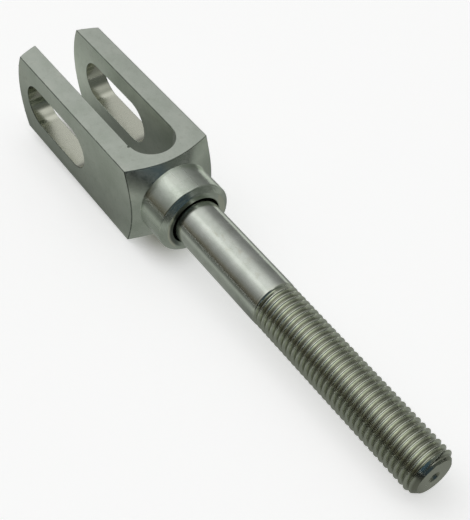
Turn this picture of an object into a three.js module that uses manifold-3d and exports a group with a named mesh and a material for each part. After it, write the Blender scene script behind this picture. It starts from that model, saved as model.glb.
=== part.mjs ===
// A fork end with a threaded rod that turns in it: a square steel fork with slotted ears, a rod whose
// reduced tail runs in a bronze bush, and a washer, a slotted round nut and a spring pin that hold it.
// Millimetres, +Z up, +X along the rod to its threaded end. Stations are counted from the neck's face.
import * as THREE from "three";
import { mergeGeometries, mergeVertices, toCreasedNormals } from "three/addons/utils/BufferGeometryUtils.js";
import Module from "manifold-3d";

// Fits
const RUNNING = 0.3; // between surfaces that turn or slide on each other, and between seated faces
const SHANK_CLEARANCE = 0.9; // open ring round the shank where it leaves the neck

// Fork: square bar, two ears with a gap between them, turned neck
const BAR = 46;
const GAP = 24;
const FORK_LENGTH = 137; // neck face to the tips' crown
const TIP_RADIUS = 54.5; // dome that the ear tips are turned to
const NECK_RADIUS = 19.25;
const NECK_LENGTH = 19;
const NECK_CHAMFER = 2.5;
const NECK_FACE_RADIUS = 16.4;
const SHOULDER_SLOPE = 0.528; // axial fall of the turned shoulder for each mm of radius
const GAP_BOTTOM = 27.4; // neck face to the bottom of the gap
const GAP_STEP = 0.5; // the round bottom is this much narrower than the gap, all of it on the -Y side
const SLOT_WIDTH = 24;
const SLOT_NEAR = 77.2; // neck face to the centres of the slot's round ends
const SLOT_FAR = 110.6;

// Rod: plain shank, cut thread, chamfered end with a centre hole, reduced tail
const SHANK_RADIUS = 12;
const ROD_REACH = 165; // neck face to the threaded end
const THREAD_START = 59.6;
const CREST_DROP = 0.15; // the crests lie this much below the shank's surface
const PITCH = 3;
const THREAD_DEPTH = 1.75;
const ROOT_WIDTH = 0.5;
const RUN_OUT_TURNS = 1.25;
const FACETS = 24; // facets round the rod, and stations in each turn of the thread
const END_FACE_RADIUS = 9;
const CENTRE_RADIUS = 2.75;
const PILOT_RADIUS = 1.25;
const PILOT_DEPTH = 7;

// Swivel: the rod's tail in its bush, and what holds it from the gap side
const SWIVEL_DEPTH = 14; // neck face to the seat of the bush's flange
const TAIL_RADIUS = 8;
const BUSH_WALL = 1.7;
const FLANGE_THICKNESS = 3;
const WASHER_THICKNESS = 2;
const NUT_THICKNESS = 6.5;
const NUT_CLEARANCE = 0.8; // between the nut and each ear
const NUT_SLOT = [3, 2]; // width and depth of the two spanner slots
const PIN_RADIUS = 1.5;
const PIN_WALL = 0.5;
const PIN_SLIT = 0.7;
const PIN_LENGTH = 21;

// Sizes that follow from those above
const boreRadius = SHANK_RADIUS + SHANK_CLEARANCE;
const bushInside = TAIL_RADIUS + RUNNING;
const bushOutside = bushInside + BUSH_WALL;
const bushBore = bushOutside + RUNNING;
const flangeRadius = boreRadius - RUNNING;
const flangeFace = -SWIVEL_DEPTH + RUNNING + FLANGE_THICKNESS;
const nutRadius = GAP / 2 - NUT_CLEARANCE;
const washerRadius = Math.max(nutRadius, bushOutside);
const spotFaceRadius = washerRadius + RUNNING;
const threadRadius = SHANK_RADIUS - CREST_DROP;
const washerFace = -GAP_BOTTOM - RUNNING;
const nutFace = washerFace - WASHER_THICKNESS - RUNNING;
const nutEnd = nutFace - NUT_THICKNESS;
const pinStation = nutFace - NUT_THICKNESS / 2;
const crossHoleRadius = PIN_RADIUS + RUNNING;
const gapEndRadius = (GAP - GAP_STEP) / 2;
const gapEndCentre = -GAP_BOTTOM - gapEndRadius;
const tipFall = TIP_RADIUS - Math.sqrt(TIP_RADIUS ** 2 - (GAP / 2) ** 2); // crown to the ears' inner edges
const middle = (ROD_REACH - FORK_LENGTH + tipFall) / 2;

const wasm = await Module();
wasm.setup();

// A closed three.js geometry as a manifold solid.
function solid(geometry) {
  const bare = geometry.clone();
  bare.deleteAttribute("normal");
  bare.deleteAttribute("uv");
  const merged = mergeVertices(bare, 1e-4);
  return new wasm.Manifold(
    new wasm.Mesh({
      numProp: 3,
      vertProperties: merged.attributes.position.array,
      triVerts: new Uint32Array(merged.index.array),
    }),
  );
}

function mesh(name, made, colour, roughness, metalness) {
  const { vertProperties, triVerts } = made.getMesh();
  const geometry = new THREE.BufferGeometry();
  geometry.setAttribute("position", new THREE.BufferAttribute(vertProperties, 3));
  geometry.setIndex(new THREE.BufferAttribute(triVerts, 1));
  const material = new THREE.MeshStandardMaterial({ color: colour, roughness, metalness });
  const part = new THREE.Mesh(toCreasedNormals(geometry, 0.5), material);
  part.name = name;
  return part;
}

// A body turned about the rod's axis, from [station, radius] pairs in rising station order.
function turned(profile, segments = 60) {
  const points = profile.map(([station, radius]) => new THREE.Vector2(radius, station));
  return solid(new THREE.LatheGeometry(points, segments).rotateZ(-Math.PI / 2));
}

// A turned ring, square in section, between two stations.
function ring(from, to, inside, outside) {
  return turned([
    [from, inside],
    [from, outside],
    [to, outside],
    [to, inside],
    [from, inside],
  ]);
}

// A round rod of the given radius across the axis, along Z, for a cross hole.
function crossDrill(radius) {
  const drill = new THREE.CylinderGeometry(radius, radius, 4 * nutRadius, 32);
  return solid(drill.rotateX(Math.PI / 2).translate(pinStation, 0, 0));
}

// Fork body: a bar milled to a U in plan, with slots through both ears, then turned at both ends.
function forkBody() {
  const half = GAP / 2;
  const plan = new THREE.Shape();
  plan.moveTo(1, -BAR / 2);
  plan.lineTo(1, BAR / 2);
  plan.lineTo(-FORK_LENGTH - 1, BAR / 2);
  plan.lineTo(-FORK_LENGTH - 1, half);
  plan.lineTo(gapEndCentre, half);
  plan.absarc(gapEndCentre, half - gapEndRadius, gapEndRadius, Math.PI / 2, -Math.PI / 2, true);
  plan.lineTo(gapEndCentre, -half);
  plan.lineTo(-FORK_LENGTH - 1, -half);
  plan.lineTo(-FORK_LENGTH - 1, -BAR / 2);
  plan.closePath();
  const bar = new THREE.ExtrudeGeometry(plan, { depth: BAR, bevelEnabled: false, curveSegments: 48 });
  bar.translate(0, 0, -BAR / 2);

  const obround = new THREE.Shape();
  obround.absarc(-SLOT_NEAR, 0, SLOT_WIDTH / 2, -Math.PI / 2, Math.PI / 2, false);
  obround.absarc(-SLOT_FAR, 0, SLOT_WIDTH / 2, Math.PI / 2, 1.5 * Math.PI, false);
  obround.closePath();
  const slot = new THREE.ExtrudeGeometry(obround, {
    depth: BAR + 2,
    bevelEnabled: false,
    curveSegments: 32,
  });
  slot.rotateX(Math.PI / 2).translate(0, BAR / 2 + 1, 0);

  const corner = BAR / Math.SQRT2 + 1;
  const dome = [];
  const domeCentre = TIP_RADIUS - FORK_LENGTH;
  const domeSteps = 14;
  for (let i = 0; i <= domeSteps; i += 1) {
    const angle = (Math.asin(corner / TIP_RADIUS) * i) / domeSteps;
    dome.push([domeCentre - TIP_RADIUS * Math.cos(angle), TIP_RADIUS * Math.sin(angle)]);
  }
  const envelope = turned([
    ...dome,
    [-NECK_LENGTH - SHOULDER_SLOPE * (corner - NECK_RADIUS), corner],
    [-NECK_LENGTH, NECK_RADIUS],
    [-NECK_CHAMFER, NECK_RADIUS],
    [0, NECK_FACE_RADIUS],
    [0, 0],
  ]);

  const bores = turned([
    [gapEndCentre, 0],
    [gapEndCentre, spotFaceRadius],
    [-GAP_BOTTOM, spotFaceRadius],
    [-GAP_BOTTOM, bushBore],
    [-SWIVEL_DEPTH, bushBore],
    [-SWIVEL_DEPTH, boreRadius],
    [1, boreRadius],
    [1, 0],
  ]);
  return solid(bar).intersect(envelope).subtract(solid(slot)).subtract(bores);
}

// Threaded stretch: a turned profile of grooves, drawn out by one pitch in each turn to make a right-hand
// thread, and closed by a radial step at each end. The grooves fade to nothing where the thread runs out.
function threadedStretch() {
  const crest = (PITCH - ROOT_WIDTH) / 2 - THREAD_DEPTH * Math.tan(Math.PI / 6);
  const grooves = Math.ceil((ROD_REACH - THREAD_START) / PITCH) + 2;
  const begin = THREAD_START - PITCH;
  const groove = (start) => [
    [start, threadRadius],
    [start + 2 * crest, threadRadius],
    [start + PITCH / 2 + crest - ROOT_WIDTH / 2, threadRadius - THREAD_DEPTH],
    [start + PITCH / 2 + crest + ROOT_WIDTH / 2, threadRadius - THREAD_DEPTH],
  ];
  const profile = [[begin, 0]];
  for (let i = 0; i < grooves; i += 1) profile.push(...groove(begin + i * PITCH));
  const end = begin + grooves * PITCH;
  profile.push([end, threadRadius], [end, 0]);

  // The profile is one closed outline, so its points serve the turned skin and both end steps.
  const drawOut = (geometry, turnOf) => {
    const position = geometry.attributes.position;
    for (let i = 0; i < position.count; i += 1) {
      const radius = Math.hypot(position.getX(i), position.getZ(i));
      if (radius < RUNNING) continue;
      const station = position.getY(i) + PITCH * turnOf(i);
      const fade = THREE.MathUtils.smoothstep(station, THREAD_START, THREAD_START + RUN_OUT_TURNS * PITCH);
      const scale = (threadRadius - (threadRadius - radius) * fade) / radius;
      position.setXYZ(i, position.getX(i) * scale, station, position.getZ(i) * scale);
    }
    return geometry;
  };
  const points = profile.map(([station, radius]) => new THREE.Vector2(radius, station));
  const skin = drawOut(new THREE.LatheGeometry(points, FACETS), (i) => Math.floor(i / points.length) / FACETS);
  const step = (from) => {
    const outline = [[from, 0], ...groove(from), [from + PITCH, threadRadius]];
    const shape = new THREE.Shape(outline.map(([station, radius]) => new THREE.Vector2(radius, station)));
    return drawOut(new THREE.ShapeGeometry(shape).rotateY(-Math.PI / 2), () => 0);
  };
  const lastStep = step(end);
  lastStep.index.array.reverse();
  return solid(mergeGeometries([skin, step(begin), lastStep]).rotateZ(-Math.PI / 2));
}

// Threaded rod: turned all over, with a chamfered end, a centre hole, and a cross hole in its tail.
function threadedRod() {
  const tailChamfer = 1;
  const shoulder = flangeFace + RUNNING;
  const shank = turned(
    [
      [nutEnd, 0],
      [nutEnd, TAIL_RADIUS - tailChamfer],
      [nutEnd + tailChamfer, TAIL_RADIUS],
      [shoulder, TAIL_RADIUS],
      [shoulder, SHANK_RADIUS],
      [THREAD_START, SHANK_RADIUS],
      [THREAD_START, 0],
    ],
    FACETS,
  );
  const over = threadRadius + 1;
  const faced = turned([
    [0, 0],
    [0, over],
    [ROD_REACH - (over - END_FACE_RADIUS), over],
    [ROD_REACH, END_FACE_RADIUS],
    [ROD_REACH, 0],
  ]);
  const centreHole = turned([
    [ROD_REACH - PILOT_DEPTH - PILOT_RADIUS / 2, 0],
    [ROD_REACH - PILOT_DEPTH, PILOT_RADIUS],
    [ROD_REACH - (CENTRE_RADIUS - PILOT_RADIUS) * Math.sqrt(3), PILOT_RADIUS],
    [ROD_REACH, CENTRE_RADIUS],
    [ROD_REACH + 1, CENTRE_RADIUS],
    [ROD_REACH + 1, 0],
  ]);
  const threaded = threadedStretch().intersect(faced).subtract(centreHole);
  return shank.add(threaded).subtract(crossDrill(crossHoleRadius));
}

// Flanged bush: bronze, pressed into the fork from the neck side; its flange takes the rod's push.
function flangedBush() {
  const back = -SWIVEL_DEPTH + RUNNING;
  return ring(-GAP_BOTTOM, flangeFace, bushInside, bushOutside).add(
    ring(back, flangeFace, bushInside, flangeRadius),
  );
}

// Round nut: turned, with two spanner slots across its outer face and a cross hole for the pin.
function roundNut() {
  const [width, depth] = NUT_SLOT;
  const cutter = new THREE.BoxGeometry(2 * depth, 4 * nutRadius, width);
  return ring(nutEnd, nutFace, bushInside, nutRadius)
    .subtract(solid(cutter.translate(nutEnd, 0, 0)))
    .subtract(crossDrill(crossHoleRadius));
}

// Spring pin: a strip rolled to a slit tube, driven through the nut and the rod's tail.
function springPin() {
  const inside = PIN_RADIUS - PIN_WALL;
  const outerGap = Math.asin(PIN_SLIT / 2 / PIN_RADIUS);
  const innerGap = Math.asin(PIN_SLIT / 2 / inside);
  const section = new THREE.Shape();
  section.absarc(0, 0, PIN_RADIUS, outerGap, 2 * Math.PI - outerGap, false);
  section.absarc(0, 0, inside, 2 * Math.PI - innerGap, innerGap, true);
  section.closePath();
  const pin = new THREE.ExtrudeGeometry(section, {
    depth: PIN_LENGTH,
    bevelEnabled: false,
    curveSegments: 24,
  });
  return solid(pin.translate(pinStation, 0, -PIN_LENGTH / 2));
}

const fork = new THREE.Group();
fork.add(mesh("fork_body", forkBody(), 0xa8aca9, 0.38, 1));
fork.add(mesh("flanged_bush", flangedBush(), 0xb08a4c, 0.35, 1));

const swivel = new THREE.Group();
const washer = ring(washerFace - WASHER_THICKNESS, washerFace, bushInside, washerRadius);
swivel.add(mesh("threaded_rod", threadedRod(), 0xb4b7b6, 0.25, 1));
swivel.add(mesh("retaining_washer", washer, 0x9c9f9e, 0.35, 1));
swivel.add(mesh("round_nut", roundNut(), 0x8f9291, 0.4, 1));
swivel.add(mesh("spring_pin", springPin(), 0x5e6062, 0.45, 1));

const part = new THREE.Group();
part.add(fork, swivel);
part.position.x = -middle;

export default part;
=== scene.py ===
import math

import bmesh
import bpy
from mathutils import Matrix, Vector


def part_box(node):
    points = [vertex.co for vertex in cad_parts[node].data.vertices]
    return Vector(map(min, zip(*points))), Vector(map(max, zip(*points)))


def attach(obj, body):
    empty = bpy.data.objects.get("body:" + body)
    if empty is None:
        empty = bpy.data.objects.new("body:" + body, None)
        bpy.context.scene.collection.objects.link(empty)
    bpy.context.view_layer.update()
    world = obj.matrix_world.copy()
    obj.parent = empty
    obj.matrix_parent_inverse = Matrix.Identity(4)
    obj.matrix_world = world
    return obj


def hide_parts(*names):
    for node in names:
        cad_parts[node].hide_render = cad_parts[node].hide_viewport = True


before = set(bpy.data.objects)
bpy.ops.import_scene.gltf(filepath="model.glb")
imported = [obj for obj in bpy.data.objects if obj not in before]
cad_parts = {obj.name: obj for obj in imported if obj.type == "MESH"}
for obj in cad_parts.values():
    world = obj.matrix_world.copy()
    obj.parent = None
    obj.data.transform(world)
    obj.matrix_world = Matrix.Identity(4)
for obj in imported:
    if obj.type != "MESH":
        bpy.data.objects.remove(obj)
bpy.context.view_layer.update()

# ---------------------------------------------------------------------------------------------
# Fork body. A square steel bar, milled to two slotted ears with a round-bottomed gap between
# them, then turned in a lathe: a dome over the ear tips, a coned shoulder, and a bored neck.
# It is bright zinc plated all over, so its cutter marks still show through the plating.
# ---------------------------------------------------------------------------------------------
MM = 0.001
NECK_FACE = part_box("fork_body")[1].x / MM  # stations below are counted from this face, in mm
BAR = 46
GAP = 24
CROWN = 137  # the top of the dome over the ear tips
TIP_RADIUS = 54.5
GAP_BOTTOM = 27.4
GAP_STEP = 0.5  # the gap's round bottom is cut this much narrower, which leaves a step on one side
SLOT_RADIUS = 12
SLOT_ENDS = (-110.6, -77.2)
NECK_RADIUS = 19.25
NECK_LENGTH = 19
SHOULDER_SLOPE = 0.528
CORNER = BAR / math.sqrt(2) + 1
CHAMFER = 2.5
CHAMFER_FOOT = 16.4
FEED_RINGS = 4
RING_DEPTH = 0.03
PLAIN_END = 0.12  # share of the chamfer's width without rings, at each side
# Radii of what is cut through the base, from the gap out to the neck.
SPOT_FACE = 11.5
BUSH_SEAT = 10.3
NECK_BORE = 12.9
BORE_DEPTH = 14
PAST = 1  # how far a cutter runs past what it cuts
ROUND = 224  # sides of a turned surface


def set_smooth(mesh):
    """Smooth shading that stays sharp where two faces meet at a clear angle."""
    mesh.shade_smooth()
    mesh.set_sharp_from_angle(angle=math.radians(32))


def closed_up(made, name):
    """The mesh of a finished bmesh, with its faces turned outwards."""
    bmesh.ops.recalc_face_normals(made, faces=made.faces)
    mesh = bpy.data.meshes.new(name)
    made.to_mesh(mesh)
    made.free()
    return mesh


def turned(profile, sides=ROUND):
    """A body turned about the rod's axis from (station, radius) pairs, which run tail to thread."""
    made = bmesh.new()
    rings = []
    for station, radius in profile:
        if radius == 0:
            rings.append([made.verts.new((station, 0, 0))] * sides)
            continue
        angles = [2 * math.pi * k / sides for k in range(sides)]
        rings.append(
            [made.verts.new((station, radius * math.cos(a), radius * math.sin(a))) for a in angles]
        )
    for low, high in zip(rings, rings[1:]):
        for k in range(sides):
            n = (k + 1) % sides
            corners = [low[k], high[k], high[n], low[n]]
            made.faces.new(list(dict.fromkeys(corners)))
    if profile[0] == profile[-1]:
        bmesh.ops.remove_doubles(made, verts=made.verts, dist=1e-5)
    return closed_up(made, "turned")


def pushed(outline, axis, low, high):
    """A closed outline pushed straight along Y or Z between two heights, as a cutter leaves it."""
    made = bmesh.new()
    place = (lambda a, b, h: (a, h, b)) if axis == "Y" else (lambda a, b, h: (a, b, h))
    rings = [[made.verts.new(place(a, b, h)) for a, b in outline] for h in (low, high)]
    count = len(outline)
    for k in range(count):
        n = (k + 1) % count
        made.faces.new([rings[0][k], rings[0][n], rings[1][n], rings[1][k]])
    made.faces.new(rings[0])
    made.faces.new(rings[1])
    return closed_up(made, "milled")


def arc(centre, radius, start, end, steps):
    """Points on an arc, with the angles in degrees."""
    angles = [math.radians(start + (end - start) * k / steps) for k in range(steps + 1)]
    return [(centre[0] + radius * math.cos(a), centre[1] + radius * math.sin(a)) for a in angles]


def combined(base, *steps):
    """The base mesh after each (operation, mesh) step of joining or cutting."""
    body = bpy.data.objects.new("blank", base)
    bpy.context.scene.collection.objects.link(body)
    tools = []
    for operation, tool in steps:
        cutter = bpy.data.objects.new("cutter", tool)
        bpy.context.scene.collection.objects.link(cutter)
        tools.append(cutter)
        cut = body.modifiers.new("cut", "BOOLEAN")
        cut.operation = operation
        cut.solver = "EXACT"
        cut.object = cutter
    bpy.context.view_layer.update()
    depsgraph = bpy.context.evaluated_depsgraph_get()
    result = bpy.data.meshes.new_from_object(body.evaluated_get(depsgraph))
    for spent in [body, *tools]:
        bpy.data.objects.remove(spent)
    return result


def finished(name, mesh, body, node, material):
    """Scales a mesh from millimetres into place and makes it the shown piece for a CAD node."""
    mesh.transform(Matrix.Translation((NECK_FACE * MM, 0, 0)) @ Matrix.Scale(MM, 4))
    mesh.name = name
    mesh.materials.clear()
    mesh.materials.append(material)
    piece = bpy.data.objects.new(name, mesh)
    bpy.context.scene.collection.objects.link(piece)
    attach(piece, body)
    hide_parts(node)
    return piece


def ease_edges(piece, width):
    """Breaks a piece's sharp edges with a narrow rounding, and keeps its flats shaded flat."""
    easing = piece.modifiers.new("easing", "BEVEL")
    easing.width = width * MM
    easing.segments = 2
    easing.limit_method = "ANGLE"
    easing.angle_limit = math.radians(28)
    easing.use_clamp_overlap = False
    easing.miter_outer = "MITER_ARC"
    shading = piece.modifiers.new("flat shading", "WEIGHTED_NORMAL")
    shading.mode = "FACE_AREA"
    shading.weight = 100


half = BAR / 2
cutter_radius = (GAP - GAP_STEP) / 2
gap_centre = -GAP_BOTTOM - cutter_radius
cutter_offset = GAP_STEP / 2
plan = [(PAST, -half), (PAST, half), (-CROWN - PAST, half), (-CROWN - PAST, GAP / 2)]
plan += arc((gap_centre, cutter_offset), cutter_radius, 90, -90, 64)
plan += [(gap_centre, -GAP / 2), (-CROWN - PAST, -GAP / 2), (-CROWN - PAST, -half)]
# Where the cutter stopped at the step, it left a small nick.
nick_outline = arc((gap_centre - 0.1, -GAP / 2 - 0.15), 0.55, 0, 340, 17)
nick = pushed(nick_outline, "Z", -half - PAST, half + PAST)
dome_centre = TIP_RADIUS - CROWN
widest = math.degrees(math.asin(CORNER / TIP_RADIUS))
dome = arc((dome_centre, 0), TIP_RADIUS, 180, 180 - widest, 40)
dome[0] = (-CROWN, 0)
# The neck's chamfer was turned with a coarse feed, which leaves rings on it like a record's.
chamfered = [(-CHAMFER, NECK_RADIUS)]
for k in range(4 * FEED_RINGS + 1):
    share = PLAIN_END + (1 - 2 * PLAIN_END) * k / (4 * FEED_RINGS)
    wave = RING_DEPTH * math.sin(math.pi * k / 2)
    chamfered.append(
        (CHAMFER * (share - 1) + wave, NECK_RADIUS + (CHAMFER_FOOT - NECK_RADIUS) * share + wave)
    )
envelope = turned(
    dome
    + [
        (-NECK_LENGTH - SHOULDER_SLOPE * (CORNER - NECK_RADIUS), CORNER),
        (-NECK_LENGTH, NECK_RADIUS),
        *chamfered,
        (0, CHAMFER_FOOT),
        (0, 0),
    ]
)
bores = turned(
    [
        (gap_centre, 0),
        (gap_centre, SPOT_FACE),
        (-GAP_BOTTOM, SPOT_FACE),
        (-GAP_BOTTOM, BUSH_SEAT),
        (-BORE_DEPTH, BUSH_SEAT),
        (-BORE_DEPTH, NECK_BORE),
        (-0.5, NECK_BORE),
        (0.5, NECK_BORE + 1),
        (0.5, 0),
    ]
)
slot_outline = arc((SLOT_ENDS[1], 0), SLOT_RADIUS, -90, 90, 48)
slot_outline += arc((SLOT_ENDS[0], 0), SLOT_RADIUS, 90, 270, 48)
fork_mesh = combined(
    pushed(plan, "Z", -half, half),
    ("INTERSECT", envelope),
    ("DIFFERENCE", pushed(slot_outline, "Y", -half - PAST, half + PAST)),
    ("DIFFERENCE", bores),
    ("DIFFERENCE", nick),
)
# The cuts leave slivers where a turned surface meets a flat. They are laid flat and merged away.
cleaned = bmesh.new()
cleaned.from_mesh(fork_mesh)
for vert in cleaned.verts:
    for axis in (1, 2):
        if half - 0.16 < abs(vert.co[axis]) < half:
            vert.co[axis] = math.copysign(half, vert.co[axis])
bmesh.ops.remove_doubles(cleaned, verts=cleaned.verts, dist=0.13)
bmesh.ops.dissolve_degenerate(cleaned, edges=cleaned.edges, dist=0.02)
# Straight scribe lines across the flats keep each flat face simple in outline.
lines = [((station, 0, 0), (1, 0, 0)) for station in (gap_centre, *SLOT_ENDS, sum(SLOT_ENDS) / 2)]
lines += [((0, cutter_offset, 0), (0, 1, 0)), ((0, 0, 0), (0, 0, 1))]
for through, square_to in lines:
    everything = [*cleaned.verts, *cleaned.edges, *cleaned.faces]
    bmesh.ops.bisect_plane(
        cleaned, geom=everything, dist=0.002, plane_co=through, plane_no=square_to
    )
cleaned.to_mesh(fork_mesh)
cleaned.free()
fork_mesh.shade_smooth()


class Signal:
    """A value or colour on its way through a material's nodes. Arithmetic on it adds Math nodes."""

    def __init__(self, finish, socket):
        self.finish = finish
        self.socket = socket

    def _math(self, operation, *values):
        return self.finish.node("Math", {"operation": operation}, dict(enumerate(values)))

    def __add__(self, other):
        return self._math("ADD", self, other)

    def __radd__(self, other):
        return self._math("ADD", other, self)

    def __sub__(self, other):
        return self._math("SUBTRACT", self, other)

    def __rsub__(self, other):
        return self._math("SUBTRACT", other, self)

    def __mul__(self, other):
        return self._math("MULTIPLY", self, other)

    def __rmul__(self, other):
        return self._math("MULTIPLY", other, self)

    def __pow__(self, other):
        return self._math("POWER", self, other)


class Finish:
    """The node tree of a material or of the studio's world, and the one way that its nodes are made."""

    def __init__(self, owner):
        owner.use_nodes = True
        self.owner = owner
        self.tree = owner.node_tree
        self.tree.nodes.clear()

    def node(self, kind, settings=None, inputs=None, output=0):
        """Makes a node of a kind, sets it up, and feeds its sockets with values or signals."""
        made = self.tree.nodes.new("ShaderNode" + kind)
        for key, value in (settings or {}).items():
            if key == "stops":
                while len(made.color_ramp.elements) < len(value):
                    made.color_ramp.elements.new(0.5)
                for element, (place, level) in zip(made.color_ramp.elements, value):
                    element.position = place
                    rgb = level if isinstance(level, tuple) else (level, level, level)
                    element.color = (*rgb, 1)
            else:
                setattr(made, key, value)
        for key, value in (inputs or {}).items():
            if isinstance(value, Signal):
                self.tree.links.new(value.socket, made.inputs[key])
            elif isinstance(value, tuple) and made.inputs[key].type == "RGBA":
                made.inputs[key].default_value = (*value, 1)
            else:
                made.inputs[key].default_value = value
        return Signal(self, made.outputs[output]) if made.outputs else None

    def axes(self, vector):
        """The three parts of a vector."""
        apart = self.node("SeparateXYZ", {}, {0: vector})
        return [Signal(self, socket) for socket in apart.socket.node.outputs]

    def absolute(self, value):
        return self.node("Math", {"operation": "ABSOLUTE"}, {0: value})

    def larger(self, first, second):
        return self.node("Math", {"operation": "MAXIMUM"}, {0: first, 1: second})

    def ramp(self, value, stops):
        return self.node("ValToRGB", {"stops": stops}, {"Fac": value})

    def between(self, value, low, high):
        """0 below low, 1 above high, smooth between them."""
        limits = {"From Min": low, "From Max": high, "Value": value}
        return self.node("MapRange", {"interpolation_type": "SMOOTHSTEP"}, limits)

    def noise(self, vector, scale, detail=3, roughness=0.5):
        values = {"Vector": vector, "Scale": scale, "Detail": detail, "Roughness": roughness}
        return self.node("TexNoise", {}, values)

    def stretched(self, vector, scales):
        return self.node("VectorMath", {"operation": "MULTIPLY"}, {0: vector, 1: scales})

    def blended(self, factor, first, second):
        values = {"Factor": factor, 6: first, 7: second}
        return self.node("Mix", {"data_type": "RGBA"}, values, output=2)

    def metal(self, colour, roughness, height, distance, strength):
        """A bare metal surface, with its marks as a bump of the given depth in metres."""
        bump = self.node("Bump", {}, {"Height": height, "Distance": distance, "Strength": strength})
        values = {"Base Color": colour, "Roughness": roughness, "Normal": bump, "Metallic": 1.0}
        shader = self.node("BsdfPrincipled", {}, values)
        self.node("OutputMaterial", {}, {"Surface": shader})
        return self.owner


def place_of(finish):
    """Position on the part in millimetres from the neck's face, and its distance from the axis."""
    metres = finish.node("TexCoord", output=3)
    scaled = {0: metres, 1: (1000, 1000, 1000), 2: (-NECK_FACE, 0, 0)}
    point = finish.node("VectorMath", {"operation": "MULTIPLY_ADD"}, scaled)
    x, y, z = finish.axes(point)
    radius = (y * y + z * z) ** 0.5
    return point, x, y, z, radius


def facing(finish):
    """The true surface direction, as three values from 0 to 1 of how far it faces X, Y and Z."""
    return [finish.absolute(side) for side in finish.axes(finish.node("NewGeometry", output=3))]


zinc = Finish(bpy.data.materials.new("fork_bright_zinc"))
point, x, y, z, radius = place_of(zinc)
_, toward_y, toward_z = facing(zinc)
# Milled flats carry fine straight marks along the bar; turned faces carry rings round the axis.
is_flat = zinc.between(zinc.larger(toward_y, toward_z), 0.985, 0.998)
off_side = zinc.absolute(y)
off_top = zinc.absolute(z)
# The slots are milled right through with a finer cutter, which leaves their walls almost polished.
slot_start = SLOT_ENDS[0] - SLOT_RADIUS
in_slot = 1 - zinc.between(off_side, half - 0.3, half - 0.1)
in_slot = in_slot * zinc.between(off_side, GAP / 2 + 0.1, GAP / 2 + 0.3)
in_slot = in_slot * (1 - zinc.between(off_top, SLOT_RADIUS + 0.1, SLOT_RADIUS + 0.3))
in_slot = in_slot * zinc.between(x, slot_start - 0.6, slot_start - 0.2)
in_slot = in_slot * (1 - zinc.between(toward_y, 0.1, 0.4))
milled = zinc.noise(zinc.stretched(point, (0.05, 2.2, 2.2)), 1.0, 4, 0.6)
across = zinc.noise(zinc.stretched(point, (1.6, 0.08, 0.08)), 1.0, 3, 0.55)
rings_place = zinc.node("CombineXYZ", {}, {0: x * 3.2, 1: radius * 3.2})
rings = zinc.noise(rings_place, 1.0, 3, 0.6)
patches = zinc.noise(point, 0.07, 4, 0.55)
mottle = zinc.noise(point, 0.45, 3, 0.55)
grain = zinc.noise(point, 1.6, 3, 0.6)
speck = zinc.noise(point, 6.0, 2, 0.5)
straight = milled * 0.6 + across * 0.4
marks = zinc.node("Mix", {"data_type": "FLOAT"}, {"Factor": is_flat, 2: rings, 3: straight})
height = (marks * 0.5 + grain * 0.25 + mottle * 0.35 + speck * 0.1) * (1 - in_slot * 0.9)
olive = [(0.3, (0.50, 0.555, 0.475)), (0.52, (0.585, 0.635, 0.56)), (0.75, (0.66, 0.70, 0.62))]
tone = zinc.ramp(patches, olive)
tone = zinc.blended(zinc.between(mottle, 0.52, 0.75) * 0.30, tone, (0.40, 0.43, 0.36))
tone = zinc.blended(zinc.between(grain, 0.35, 0.75) * 0.25, tone, (0.72, 0.75, 0.69))
tone = zinc.blended(zinc.between(speck, 0.62, 0.75) * 0.40, tone, (0.33, 0.34, 0.29))
# Inside the slots the colour is painted paler and warmer than on the rest of the fork.
tone = zinc.blended(in_slot * 0.9, tone, (0.70, 0.71, 0.60))
# Along the edges a thin, patchy dark line is painted into the colour.
side_edge = zinc.between(off_side, half - 0.50, half - 0.22)
top_edge = zinc.between(off_top, half - 0.50, half - 0.22)
inner_edge = 1 - zinc.between(zinc.absolute(y - GAP / 2), 0.18, 0.5)
inner_edge = inner_edge * (1 - zinc.between(x, gap_centre - 1, gap_centre))
cone = zinc.absolute(x + NECK_LENGTH + (radius - NECK_RADIUS) * SHOULDER_SLOPE)
shoulder_edge = (1 - zinc.between(cone, 0.15, 0.5)) * side_edge
dark_line = zinc.larger(side_edge * top_edge, zinc.larger(inner_edge * top_edge, shoulder_edge))
eased_line = (1 - is_flat) * zinc.larger(side_edge, top_edge * 0.5)
line_patchiness = zinc.between(mottle, 0.25, 0.5) * 0.5 + 0.5
tone = zinc.blended(zinc.larger(dark_line, eased_line) * line_patchiness * 0.85, tone, (0.07, 0.085, 0.07))
# The inside of the neck's bore is painted dark as painted shade in that recess, and so is the neck's
# face beside the bore on its near side, as painted shade by the gap round the rod.
on_face = zinc.between(x, -0.9, -0.2)
bore_painted_shade = 1 - zinc.between(radius, NECK_BORE + 0.05, NECK_BORE + 0.25)
bore_painted_shade = bore_painted_shade * zinc.between(x, -BORE_DEPTH - 2, -BORE_DEPTH - 0.5) * (1 - on_face)
tone = zinc.blended(bore_painted_shade * 0.85, tone, (0.05, 0.05, 0.045))
face_painted_shade = (1 - zinc.between(radius, 14.6, 15.8)) * (1 - zinc.between(y, -12, -7)) * on_face
tone = zinc.blended(face_painted_shade * 0.85, tone, (0.06, 0.075, 0.07))
roughness = 0.20 + is_flat * 0.14 + (patches - 0.5) * 0.10 + (mottle - 0.5) * 0.12 + (marks - 0.5) * 0.14
roughness = roughness * (1 - in_slot * 0.2)
fork_zinc = zinc.metal(tone, roughness, height, 0.00008, 0.55)
clevis = finished("clevis_fork", fork_mesh, "fork", "fork_body", fork_zinc)
ease_edges(clevis, 0.25)

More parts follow.
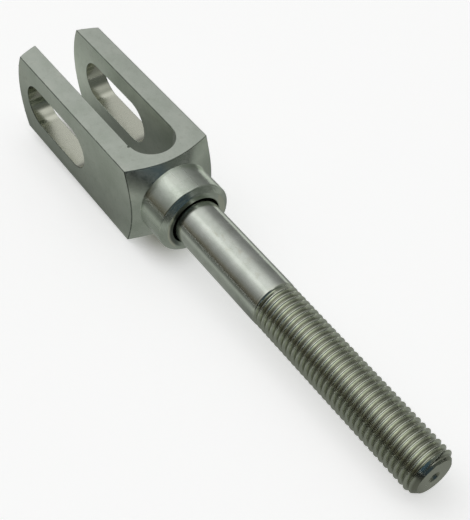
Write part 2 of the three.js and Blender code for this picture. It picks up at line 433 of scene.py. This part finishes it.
# ---------------------------------------------------------------------------------------------
# Threaded rod. Bright drawn steel bar, zinc plated, with a coarse right-hand thread cut on its
# outer end and a centre hole from the lathe. Its thin tail runs back through the fork's base.
# ---------------------------------------------------------------------------------------------
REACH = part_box("threaded_rod")[1].x / MM - NECK_FACE
TAIL_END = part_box("threaded_rod")[0].x / MM - NECK_FACE
SHANK_RADIUS = 12
THREAD_START = 59.6
CREST_RADIUS = 11.85
PITCH = 3
THREAD_DEPTH = 1.8
COLUMNS = 96
TAIL_RADIUS = 8
NOSE_RADIUS = 9
CENTRE_HOLE = 2.75
PILOT_RADIUS = 1.25
PILOT_DEPTH = 7
SEAT = -10.4  # where the tail starts, against the bush's flange
PIN_STATION = -33.25
PIN_HOLE = 1.8
CROSS_REACH = 20  # how far a cut across the tail runs to each side of the axis
# Where each turn of the thread has its rows of vertices: close on its corners, wide on its flanks.
ROWS_PER_PITCH = (0.0, 0.045, 0.08, 0.2, 0.32, 0.40, 0.44, 0.5, 0.56, 0.60, 0.68, 0.8, 0.92, 0.955)


def thread_radius(station, phase):
    """Radius of the thread at a station, where phase runs from 0 to 1 over one pitch."""
    sharp = abs(phase - 0.5) * 2  # 1 on the crest, 0 in the root
    depth = (0.875 - sharp) * PITCH / 2 * math.sqrt(3)
    depth = min(max(depth, 0), THREAD_DEPTH)
    run_out = min(max((station - THREAD_START) / (1.25 * PITCH), 0), 1)
    run_out = run_out * run_out * (3 - 2 * run_out)
    edge = 0.02 + (SHANK_RADIUS - 0.02 - CREST_RADIUS) * (1 - run_out)
    return CREST_RADIUS - 0.02 + edge - depth * run_out


tail = [
    (TAIL_END, 0),
    (TAIL_END, 6.8),
    (TAIL_END + 0.2, TAIL_RADIUS - 1),
    (TAIL_END + 1.2, TAIL_RADIUS - 0.05),
    (TAIL_END + 1.4, TAIL_RADIUS),
    (SEAT, TAIL_RADIUS),
    (SEAT, SHANK_RADIUS - 0.3),
    (-10.1, SHANK_RADIUS),
    (0, SHANK_RADIUS),
    (20, SHANK_RADIUS),
    (40, SHANK_RADIUS),
    (THREAD_START - PITCH, SHANK_RADIUS),
]
nose = [
    (REACH, NOSE_RADIUS - 0.25),
    (REACH, CENTRE_HOLE + 0.2),
    (REACH - 0.15, CENTRE_HOLE),
    (REACH - 2.75, PILOT_RADIUS),
    (REACH - PILOT_DEPTH, PILOT_RADIUS),
    (REACH - 7.6, 0),
]
screw = bmesh.new()
turns = math.ceil((REACH - THREAD_START) / PITCH) + 3
grid = []
for column in range(COLUMNS + 1):
    angle = 2 * math.pi * column / COLUMNS
    line = list(tail)
    for turn in range(turns):
        for phase in ROWS_PER_PITCH:
            station = THREAD_START - 2 * PITCH + PITCH * (turn + phase + column / COLUMNS)
            held = min(max(station, THREAD_START - PITCH / 2), REACH)
            reached = min(thread_radius(station, phase), NOSE_RADIUS + (REACH - held))
            if held >= REACH - 0.25:
                reached = min(reached, NOSE_RADIUS + (REACH - held) * 0.4)
            line.append((held, reached))
    line += nose
    grid.append(
        [screw.verts.new((s, r * math.cos(angle), r * math.sin(angle))) for s, r in line]
    )
for first, second in zip(grid, grid[1:]):
    for row in range(len(first) - 1):
        screw.faces.new([first[row], first[row + 1], second[row + 1], second[row]])
bmesh.ops.remove_doubles(screw, verts=screw.verts, dist=1e-4)
bmesh.ops.dissolve_degenerate(screw, edges=screw.edges, dist=1e-5)
pin_hole = pushed(arc((PIN_STATION, 0), PIN_HOLE, 0, 345, 23), "Z", -CROSS_REACH, CROSS_REACH)
rod_mesh = combined(closed_up(screw, "rod"), ("DIFFERENCE", pin_hole))
set_smooth(rod_mesh)

bright = Finish(bpy.data.materials.new("rod_bright_zinc"))
point, x, _, _, radius = place_of(bright)
drawn = bright.noise(bright.stretched(point, (0.12, 2.4, 2.4)), 1.0, 4, 0.6)
rings_place = bright.node("CombineXYZ", {}, {0: x * 2.4, 1: radius * 5.0})
rings = bright.noise(rings_place, 1.0, 3, 0.6)
cloud = bright.noise(point, 0.12, 4, 0.6)
blotch = bright.noise(bright.stretched(point, (0.16, 0.3, 0.3)), 1.0, 3, 0.55)
grain = bright.noise(point, 2.2, 3, 0.6)
on_thread = bright.between(x, THREAD_START - 1, THREAD_START + 3)
# The thread's roots are painted dark: painted shade in the grooves.
in_root = (1 - bright.between(radius, 10.2, 11.2)) * on_thread
tone = bright.ramp(cloud, [(0.3, (0.57, 0.61, 0.545)), (0.7, (0.71, 0.745, 0.685))])
tone = bright.blended(bright.between(blotch, 0.55, 0.8) * 0.30, tone, (0.47, 0.43, 0.33))
tone = bright.blended(on_thread * 0.7, tone, (0.80, 0.83, 0.69))
tone = bright.blended(in_root * 0.55, tone, (0.16, 0.16, 0.11))
tone = bright.blended(bright.between(grain, 0.6, 0.8) * 0.35, tone, (0.42, 0.41, 0.34))
marks = drawn * 0.3 + rings * 0.2 + grain * 0.12 + blotch * 0.45
roughness = 0.185 + (cloud - 0.5) * 0.10 + (drawn - 0.5) * 0.12 + in_root * 0.10 - on_thread * 0.05
rod_zinc = bright.metal(tone, roughness, marks, 0.00006, 0.45)
finished("threaded_swivel_rod", rod_mesh, "rod", "threaded_rod", rod_zinc)

# ---------------------------------------------------------------------------------------------
# Flanged bush. Turned from bronze and pressed into the fork's base from the neck side. The
# rod's tail turns in it, and its flange takes the rod's push.
# ---------------------------------------------------------------------------------------------
bush_back, bush_front = (corner.x / MM - NECK_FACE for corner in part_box("flanged_bush"))
FLANGE_FACE = bush_front - 3
FLANGE_RADIUS = 12.6
BUSH_RADIUS = 10
BUSH_BORE = 8.3  # the washer and the nut have the same bore
SMALL_ROUND = 144  # sides of a small turned piece
bush_mesh = turned(
    [
        (bush_back, BUSH_BORE + 0.2),
        (bush_back, BUSH_RADIUS - 0.2),
        (bush_back + 0.2, BUSH_RADIUS),
        (FLANGE_FACE, BUSH_RADIUS),
        (FLANGE_FACE, FLANGE_RADIUS - 0.2),
        (FLANGE_FACE + 0.2, FLANGE_RADIUS),
        (bush_front - 0.2, FLANGE_RADIUS),
        (bush_front, FLANGE_RADIUS - 0.2),
        (bush_front, BUSH_BORE + 0.2),
        (bush_front - 0.2, BUSH_BORE),
        (bush_back + 0.2, BUSH_BORE),
        (bush_back, BUSH_BORE + 0.2),
    ],
    SMALL_ROUND,
)
set_smooth(bush_mesh)
bronze = Finish(bpy.data.materials.new("turned_bronze"))
point, x, _, _, radius = place_of(bronze)
rings = bronze.noise(bronze.node("CombineXYZ", {}, {0: x * 4.0, 1: radius * 4.0}), 1.0, 3, 0.6)
cloud = bronze.noise(point, 0.25, 3, 0.5)
tone = bronze.ramp(cloud, [(0.3, (0.48, 0.30, 0.12)), (0.7, (0.62, 0.42, 0.19))])
bronze_metal = bronze.metal(tone, 0.28 + rings * 0.16, rings, 0.00006, 0.5)
finished("bronze_bush", bush_mesh, "fork", "flanged_bush", bronze_metal)

# ---------------------------------------------------------------------------------------------
# Washer. Punched and ground steel, zinc plated. It lies on the spot face at the bottom of the
# fork's gap and turns with the nut.
# ---------------------------------------------------------------------------------------------
washer_back, washer_front = (corner.x / MM - NECK_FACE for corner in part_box("retaining_washer"))
NUT_RADIUS = 11.2  # the washer is as wide as the nut
washer_mesh = turned(
    [
        (washer_back, BUSH_BORE + 0.2),
        (washer_back, NUT_RADIUS - 0.3),
        (washer_back + 0.3, NUT_RADIUS),
        (washer_front - 0.1, NUT_RADIUS),
        (washer_front, NUT_RADIUS - 0.1),
        (washer_front, BUSH_BORE + 0.1),
        (washer_front - 0.1, BUSH_BORE),
        (washer_back + 0.2, BUSH_BORE),
        (washer_back, BUSH_BORE + 0.2),
    ],
    SMALL_ROUND,
)
set_smooth(washer_mesh)
ground = Finish(bpy.data.materials.new("washer_zinc"))
point = place_of(ground)[0]
cloud = ground.noise(point, 0.3, 4, 0.6)
scratches = ground.noise(ground.stretched(point, (2.0, 0.3, 3.0)), 1.0, 4, 0.6)
tone = ground.ramp(cloud, [(0.3, (0.50, 0.53, 0.50)), (0.7, (0.62, 0.64, 0.60))])
washer_zinc = ground.metal(tone, 0.30 + scratches * 0.14, scratches, 0.00005, 0.5)
finished("washer", washer_mesh, "rod", "retaining_washer", washer_zinc)

# ---------------------------------------------------------------------------------------------
# Round nut. Turned steel with two milled spanner slots across its outer face and a hole drilled
# right through for the pin. It is screwed hard on to the rod's tail.
# ---------------------------------------------------------------------------------------------
nut_back, nut_front = (corner.x / MM - NECK_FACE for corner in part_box("round_nut"))
nut_mesh = turned(
    [
        (nut_back, BUSH_BORE + 0.4),
        (nut_back, NUT_RADIUS - 0.5),
        (nut_back + 0.5, NUT_RADIUS),
        (nut_front - 0.5, NUT_RADIUS),
        (nut_front, NUT_RADIUS - 0.5),
        (nut_front, BUSH_BORE + 0.4),
        (nut_front - 0.4, BUSH_BORE),
        (nut_back + 0.4, BUSH_BORE),
        (nut_back, BUSH_BORE + 0.4),
    ],
    SMALL_ROUND,
)
SPANNER_DEPTH = 2
SPANNER_HALF = 1.5
outside, floor = nut_back - PAST, nut_back + SPANNER_DEPTH
spanner_slot = [(outside, -SPANNER_HALF), (floor, -SPANNER_HALF)]
spanner_slot += [(floor, SPANNER_HALF), (outside, SPANNER_HALF)]
nut_mesh = combined(
    nut_mesh,
    ("DIFFERENCE", pushed(spanner_slot, "Y", -CROSS_REACH, CROSS_REACH)),
    ("DIFFERENCE", pin_hole),
)
nut_mesh.shade_smooth()
dull = Finish(bpy.data.materials.new("nut_zinc"))
point, x, _, _, radius = place_of(dull)
rings = dull.noise(dull.node("CombineXYZ", {}, {0: x * 3.0, 1: radius * 3.0}), 1.0, 3, 0.6)
cloud = dull.noise(point, 0.22, 4, 0.6)
tone = dull.ramp(cloud, [(0.3, (0.42, 0.445, 0.42)), (0.7, (0.55, 0.57, 0.54))])
nut_zinc = dull.metal(tone, 0.30 + rings * 0.16, rings, 0.00006, 0.55)
nut = finished("slotted_nut", nut_mesh, "rod", "round_nut", nut_zinc)
ease_edges(nut, 0.12)

# ---------------------------------------------------------------------------------------------
# Spring pin. A strip of spring steel rolled into a slit tube and driven through the nut and the
# tail, so that the nut can't work loose.
# ---------------------------------------------------------------------------------------------
PIN_RADIUS = 1.5
PIN_BORE = 1.0
pin_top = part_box("spring_pin")[1].z / MM
HALF_SLIT = 0.35
slit = math.degrees(math.asin(HALF_SLIT / PIN_RADIUS))
inner_slit = math.degrees(math.asin(HALF_SLIT / PIN_BORE))
section = arc((PIN_STATION, 0), PIN_RADIUS, slit, 360 - slit, 40)
section += arc((PIN_STATION, 0), PIN_BORE, 360 - inner_slit, inner_slit, 32)
pin_mesh = pushed(section, "Z", -pin_top, pin_top)
pin_mesh.shade_smooth()
spring = Finish(bpy.data.materials.new("dark_spring_steel"))
point = place_of(spring)[0]
streaks = spring.noise(spring.stretched(point, (3.0, 3.0, 0.4)), 1.0, 3, 0.6)
cloud = spring.noise(point, 0.8, 3, 0.6)
tone = spring.ramp(cloud, [(0.3, (0.10, 0.10, 0.11)), (0.7, (0.20, 0.20, 0.21))])
pin_steel = spring.metal(tone, 0.34 + streaks * 0.18, streaks, 0.00005, 0.5)
roll_pin = finished("roll_pin", pin_mesh, "rod", "spring_pin", pin_steel)
ease_edges(roll_pin, 0.1)

# ---------------------------------------------------------------------------------------------
# Bench, lights and camera. The part lies as it does on a bench: on the lower edge of the fork's
# shoulder and on the rod's end, so the bench is tilted a little against the rod's axis.
# ---------------------------------------------------------------------------------------------
HEEL_STATION = -21  # the shoulder's lowest corner
NOSE_LENGTH = CREST_RADIUS - NOSE_RADIUS
heel = Vector(((NECK_FACE + HEEL_STATION) * MM, 0, -half * MM))
toe = Vector(((NECK_FACE + REACH - NOSE_LENGTH) * MM, 0, -CREST_RADIUS * MM))
tilt = math.atan2(toe.z - heel.z, toe.x - heel.x)


def sheet_on_bench(name, spread, lift):
    """A flat square sheet in the plane that the part lies on, or a hair below it."""
    mesh = bpy.data.meshes.new(name)
    corners = [(a * spread, b * spread, lift) for a, b in ((-1, -1), (1, -1), (1, 1), (-1, 1))]
    mesh.from_pydata(corners, [], [(0, 1, 2, 3)])
    sheet = bpy.data.objects.new(name, mesh)
    bpy.context.scene.collection.objects.link(sheet)
    sheet.location = heel
    sheet.rotation_euler = (0, -tilt, 0)
    return sheet


bench = sheet_on_bench("bench", 14.0, -0.0008)
paper = Finish(bpy.data.materials.new("white_paper"))
spot = paper.node("TexCoord", output=3)
along, aside, _ = paper.axes(paper.stretched(spot, (1000, 1000, 1000)))
# The bench glows evenly, but less in a patch under the fork's gap: a painted shadow.
gap_painted_shadow = (1 - paper.between(paper.absolute(aside), 8, 26)) * paper.between(along, -125, -95)
gap_painted_shadow = gap_painted_shadow * (1 - paper.between(along, 0, 30))
fibre = paper.noise(spot, 900, 3, 0.6)
shade = paper.ramp(fibre, [(0.3, (0.93, 0.93, 0.93)), (0.7, (0.95, 0.95, 0.95))])
glow = paper.blended(gap_painted_shadow, (0.56, 0.56, 0.56), (0.08, 0.075, 0.06))
values = {"Base Color": shade, "Roughness": 0.9, "Emission Color": glow, "Emission Strength": 1}
shader = paper.node("BsdfPrincipled", {}, values)
see_through = paper.node("BsdfTransparent")
underside = paper.node("NewGeometry", output=6)
shader = paper.node("MixShader", {}, {0: underside, 1: shader, 2: see_through})
paper.node("OutputMaterial", {}, {"Surface": shader})
bench.data.materials.append(paper.owner)

# A grey card lies under the part. Only the metal sees it, so the bench is white and the steel isn't.
card = sheet_on_bench("grey_card", 2.0, -0.0003)
card.visible_camera = False
card.visible_shadow = False
card.visible_diffuse = False
grey = Finish(bpy.data.materials.new("grey_card"))
along, aside, _ = grey.axes(grey.stretched(grey.node("TexCoord", output=3), (1000, 1000, 1000)))
# Its glow is painted darker close beside the part and under the fork, where the floor lies in the part's
# shade: painted shade that only the metal reflects.
off_line = grey.absolute(aside)
beyond_tips = (1 - grey.between(along, -155, -80)) * (1 - grey.between(off_line, 14, 30)) * 0.42
beside = (1 - grey.between(aside, -62, -23)) * (1 - grey.between(along, 60, 130) * 0.85) * 0.28
beside = beside + grey.between(aside, 24, 60) * 0.10
far_side = grey.between(aside, 78, 120) * (1 - grey.between(along, 0, 40) * 0.8)
beside = beside + far_side * 0.46
under_neck = grey.between(along, -30, 0) * (1 - grey.between(off_line, 22, 50)) * 0.14
by_thread = grey.between(aside, -36, -24) * (1 - grey.between(aside, -10, 4))
by_thread = by_thread * grey.between(along, 40, 75)
near = beside + beyond_tips + under_neck - by_thread * 0.11 + 0.16
behind_camera = (1 - grey.between(aside, -125, -58)) * 0.28
level = grey.larger(near - behind_camera, 0.04) * (1 - grey.between(along, 200, 260) * 0.9)
colour = grey.stretched(level, (0.96, 1.0, 0.93))
emission = grey.node("Emission", {}, {"Color": colour, "Strength": 1.0})
see_through = grey.node("BsdfTransparent")
underside = grey.node("NewGeometry", output=6)
emission = grey.node("MixShader", {}, {0: underside, 1: emission, 2: see_through})
grey.node("OutputMaterial", {}, {"Surface": emission})
card.data.materials.append(grey.owner)

# A pale backdrop stands all round, where only the camera sees it.
WALL_RADIUS = 9
wall = bmesh.new()
bmesh.ops.create_cone(
    wall, cap_ends=False, segments=96, radius1=WALL_RADIUS, radius2=WALL_RADIUS, depth=14
)
wall_mesh = closed_up(wall, "backdrop")
backdrop = bpy.data.objects.new("backdrop", wall_mesh)
bpy.context.scene.collection.objects.link(backdrop)
for ray in ("shadow", "diffuse", "glossy", "transmission", "volume_scatter"):
    setattr(backdrop, "visible_" + ray, False)
cloth = Finish(bpy.data.materials.new("backdrop_cloth"))
plain = cloth.node("Emission", {}, {"Color": (0.94, 0.94, 0.94), "Strength": 1.0})
cloth.node("OutputMaterial", {}, {"Surface": plain})
wall_mesh.materials.append(cloth.owner)

# The studio: a long softbox overhead, along the rod, in a dim room.
SOFTBOX_DISTANCE = 0.9
world = bpy.data.worlds.new("studio")
bpy.context.scene.world = world
room = Finish(world)
ahead, aside, above = room.axes(room.node("TexCoord", output=0))
# Half a turn round the rod's axis, from the right-hand horizon over the top to the left-hand one.
turn = room.absolute(room.node("Math", {"operation": "ARCTAN2"}, {0: above, 1: aside})) * (1 / math.pi)
turn = turn + (ahead + 0.52) * room.between(turn, 0.22, 0.5) * 0.2
ceiling = [
    (0.0, 0.20),
    (0.10, 0.22),
    (0.24, 0.34),
    (0.355, 0.67),
    (0.46, 0.83),
    (0.56, 0.90),
    (0.66, 0.80),
    (0.74, 0.48),
    (0.84, 0.33),
    (0.93, (0.18, 0.165, 0.13)),
    (1.0, (0.08, 0.073, 0.058)),
]
softbox = room.ramp(turn, ceiling)
unlit = room.between(ahead, -0.8, 0.2) * room.between(turn, 0.73, 0.86)
flank = room.between(ahead, -0.1, 0.3) * room.between(turn, 0.58, 0.71)
softbox = room.blended(room.larger(unlit, flank) * 0.9, softbox, (0.03, 0.028, 0.02))
right_end = room.between(ahead, -0.3, 0.1) * (1 - room.between(turn, 0.44, 0.54))
softbox = room.blended(right_end * 0.85, softbox, (0.20, 0.21, 0.19))
softbox = room.blended(room.between(ahead, 0.5, 0.74), softbox, (0.11, 0.12, 0.11))
# Past the threaded end the room is dim, and on the near side it is a dark blue.
door = room.between(ahead, 0.66, 0.84) * (1 - room.between(aside, 0.05, 0.3))
light = room.blended(door, softbox, (0.042, 0.07, 0.098))
background = room.node("Background", {}, {"Color": light, "Strength": 1.0})
room.node("OutputWorld", {}, {"Surface": background})

lamp = bpy.data.lights.new("softbox_lamp", "AREA")
lamp.shape = "RECTANGLE"
lamp.size = 0.5
lamp.size_y = 0.22
lamp.energy = 0.07
lamp_stand = bpy.data.objects.new("softbox_lamp", lamp)
bpy.context.scene.collection.objects.link(lamp_stand)
from_part = Vector((-0.50, -0.25, 0.83)).normalized()
lamp_stand.location = from_part * SOFTBOX_DISTANCE
across_rod = from_part.cross((1, 0, 0)).normalized()
facing_part = Matrix((across_rod.cross(from_part), across_rod, from_part)).transposed()
lamp_stand.rotation_euler = facing_part.to_euler()

camera_data = bpy.data.cameras.new("camera")
camera_data.lens = 73.77
camera_data.clip_start = 0.02
camera_data.clip_end = 20
camera = bpy.data.objects.new("camera", camera_data)
bpy.context.scene.collection.objects.link(camera)
camera.location = (0.28338 + NECK_FACE * MM, -0.19752, 0.36470)
camera.rotation_euler = [math.radians(a) for a in (41.367, -2.214, 54.463)]
bpy.context.scene.camera = camera
bpy.context.scene.view_settings.view_transform = "Standard"
